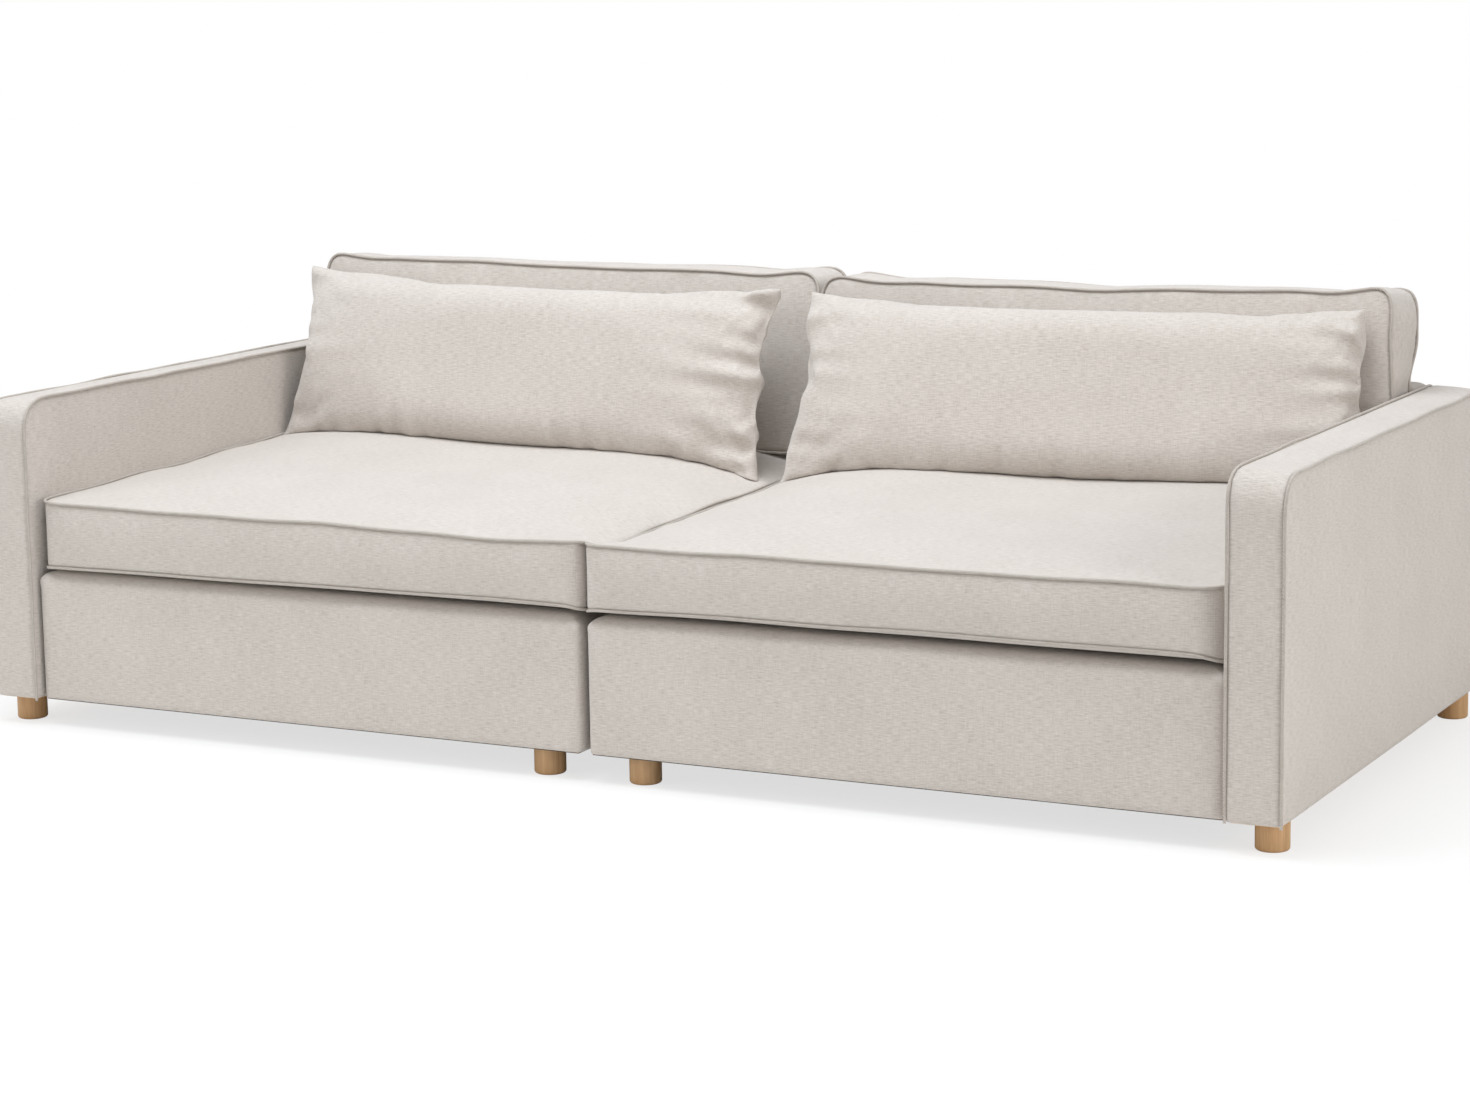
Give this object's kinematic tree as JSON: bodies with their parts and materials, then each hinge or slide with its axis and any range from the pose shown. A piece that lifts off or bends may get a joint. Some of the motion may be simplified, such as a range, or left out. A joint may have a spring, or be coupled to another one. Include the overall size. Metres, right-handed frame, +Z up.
{
  "type": "sofa",
  "caption": "Deep modular sofa with slim track arms, loose seat, back and lumbar cushions with piped edges, on short round wooden legs.",
  "frame": {"origin": "on the floor, midway between the arms' outer faces and midway between the arms' front and rear faces", "axes": "+X along the sofa towards the right module as seen from the front, +Y to the rear, +Z up; the front faces -Y"},
  "size_m": [2.55, 1.165, 0.8056],
  "materials": {
    "upholstery": "woven linen-look cloth, heathered greige, with fine slubs across",
    "piping": "self-covered cord in the upholstery cloth",
    "foam": "pale yellow upholstery foam and wadding",
    "webbing": "woven elastic webbing, dark brown",
    "dust_cloth": "black non-woven dust cloth",
    "zip_tape": "woven tape with a nylon coil",
    "zip_metal": "plated die-cast slider and pull tab",
    "frame_timber": "planed softwood and fibreboard, bare",
    "oak": "turned oak with upright grain, clear matt lacquer",
    "steel": "zinc-plated steel"
  },
  "bodies": {
    "left_module": {"left_seat_frame": "frame_timber", "left_webbing": "webbing", "left_deck_foam": "foam", "left_base_cover": "upholstery", "left_dust_cover": "dust_cloth", "left_arm_frame": "frame_timber", "left_arm_pad": "upholstery", "left_arm_piping": "piping", "left_back_frame": "frame_timber", "left_back_pad": "upholstery", "left_leg_front_outer": "oak", "left_leg_front_inner": "oak", "left_leg_rear_outer": "oak", "left_leg_rear_inner": "oak", "left_fasteners": "steel", "left_connector": "steel"},
    "left_seat_cushion": {"left_seat_cushion_cover": "upholstery", "left_seat_cushion_foam": "foam", "left_seat_piping": "piping", "left_seat_zip": "zip_tape"},
    "left_back_cushion": {"left_back_cushion_cover": "upholstery", "left_back_cushion_fill": "foam", "left_back_piping": "piping", "left_back_zip": "zip_tape"},
    "left_lumbar_pillow": {"left_lumbar_cover": "upholstery", "left_lumbar_fill": "foam", "left_lumbar_zip": "zip_tape"},
    "left_seat_slider": {"left_seat_zip_slider": "zip_metal"},
    "left_back_slider": {"left_back_zip_slider": "zip_metal"},
    "left_lumbar_slider": {"left_lumbar_zip_slider": "zip_metal"},
    "right_module": {"right_seat_frame": "frame_timber", "right_webbing": "webbing", "right_deck_foam": "foam", "right_base_cover": "upholstery", "right_dust_cover": "dust_cloth", "right_arm_frame": "frame_timber", "right_arm_pad": "upholstery", "right_arm_piping": "piping", "right_back_frame": "frame_timber", "right_back_pad": "upholstery", "right_leg_front_outer": "oak", "right_leg_front_inner": "oak", "right_leg_rear_outer": "oak", "right_leg_rear_inner": "oak", "right_fasteners": "steel", "right_connector": "steel"},
    "right_seat_cushion": {"right_seat_cushion_cover": "upholstery", "right_seat_cushion_foam": "foam", "right_seat_piping": "piping", "right_seat_zip": "zip_tape"},
    "right_back_cushion": {"right_back_cushion_cover": "upholstery", "right_back_cushion_fill": "foam", "right_back_piping": "piping", "right_back_zip": "zip_tape"},
    "right_lumbar_pillow": {"right_lumbar_cover": "upholstery", "right_lumbar_fill": "foam", "right_lumbar_zip": "zip_tape"},
    "right_seat_slider": {"right_seat_zip_slider": "zip_metal"},
    "right_back_slider": {"right_back_zip_slider": "zip_metal"},
    "right_lumbar_slider": {"right_lumbar_zip_slider": "zip_metal"}
  },
  "joints": [
    {"name": "modules_apart", "type": "slide", "parent": "left_module", "child": "right_module", "axis": [1, 0, 0], "range_m": [0, 0.25]},
    {"name": "left_seat_cushion_lift", "type": "slide", "parent": "left_module", "child": "left_seat_cushion", "axis": [0, 0, 1], "range_m": [0, 0.2]},
    {"name": "left_back_cushion_lift", "type": "slide", "parent": "left_seat_cushion", "child": "left_back_cushion", "axis": [0, 0, 1], "range_m": [0, 0.3]},
    {"name": "left_lumbar_pillow_lift", "type": "slide", "parent": "left_back_cushion", "child": "left_lumbar_pillow", "axis": [0, 0, 1], "range_m": [0, 0.3]},
    {"name": "left_seat_zip_pull", "type": "slide", "parent": "left_seat_cushion", "child": "left_seat_slider", "axis": [1, 0, 0], "range_m": [0, 0.97]},
    {"name": "left_back_zip_pull", "type": "slide", "parent": "left_back_cushion", "child": "left_back_slider", "axis": [1, 0, 0], "range_m": [0, 0.97]},
    {"name": "left_lumbar_zip_pull", "type": "slide", "parent": "left_lumbar_pillow", "child": "left_lumbar_slider", "axis": [0.9965, -0.0837, 0], "range_m": [0, 0.95]},
    {"name": "right_seat_cushion_lift", "type": "slide", "parent": "right_module", "child": "right_seat_cushion", "axis": [0, 0, 1], "range_m": [0, 0.2]},
    {"name": "right_back_cushion_lift", "type": "slide", "parent": "right_seat_cushion", "child": "right_back_cushion", "axis": [0, 0, 1], "range_m": [0, 0.3]},
    {"name": "right_lumbar_pillow_lift", "type": "slide", "parent": "right_back_cushion", "child": "right_lumbar_pillow", "axis": [0, 0, 1], "range_m": [0, 0.3]},
    {"name": "right_seat_zip_pull", "type": "slide", "parent": "right_seat_cushion", "child": "right_seat_slider", "axis": [-1, 0, 0], "range_m": [0, 0.97]},
    {"name": "right_back_zip_pull", "type": "slide", "parent": "right_back_cushion", "child": "right_back_slider", "axis": [-1, 0, 0], "range_m": [0, 0.97]},
    {"name": "right_lumbar_zip_pull", "type": "slide", "parent": "right_lumbar_pillow", "child": "right_lumbar_slider", "axis": [-0.9965, -0.0837, 0], "range_m": [0, 0.95]}
  ]
}
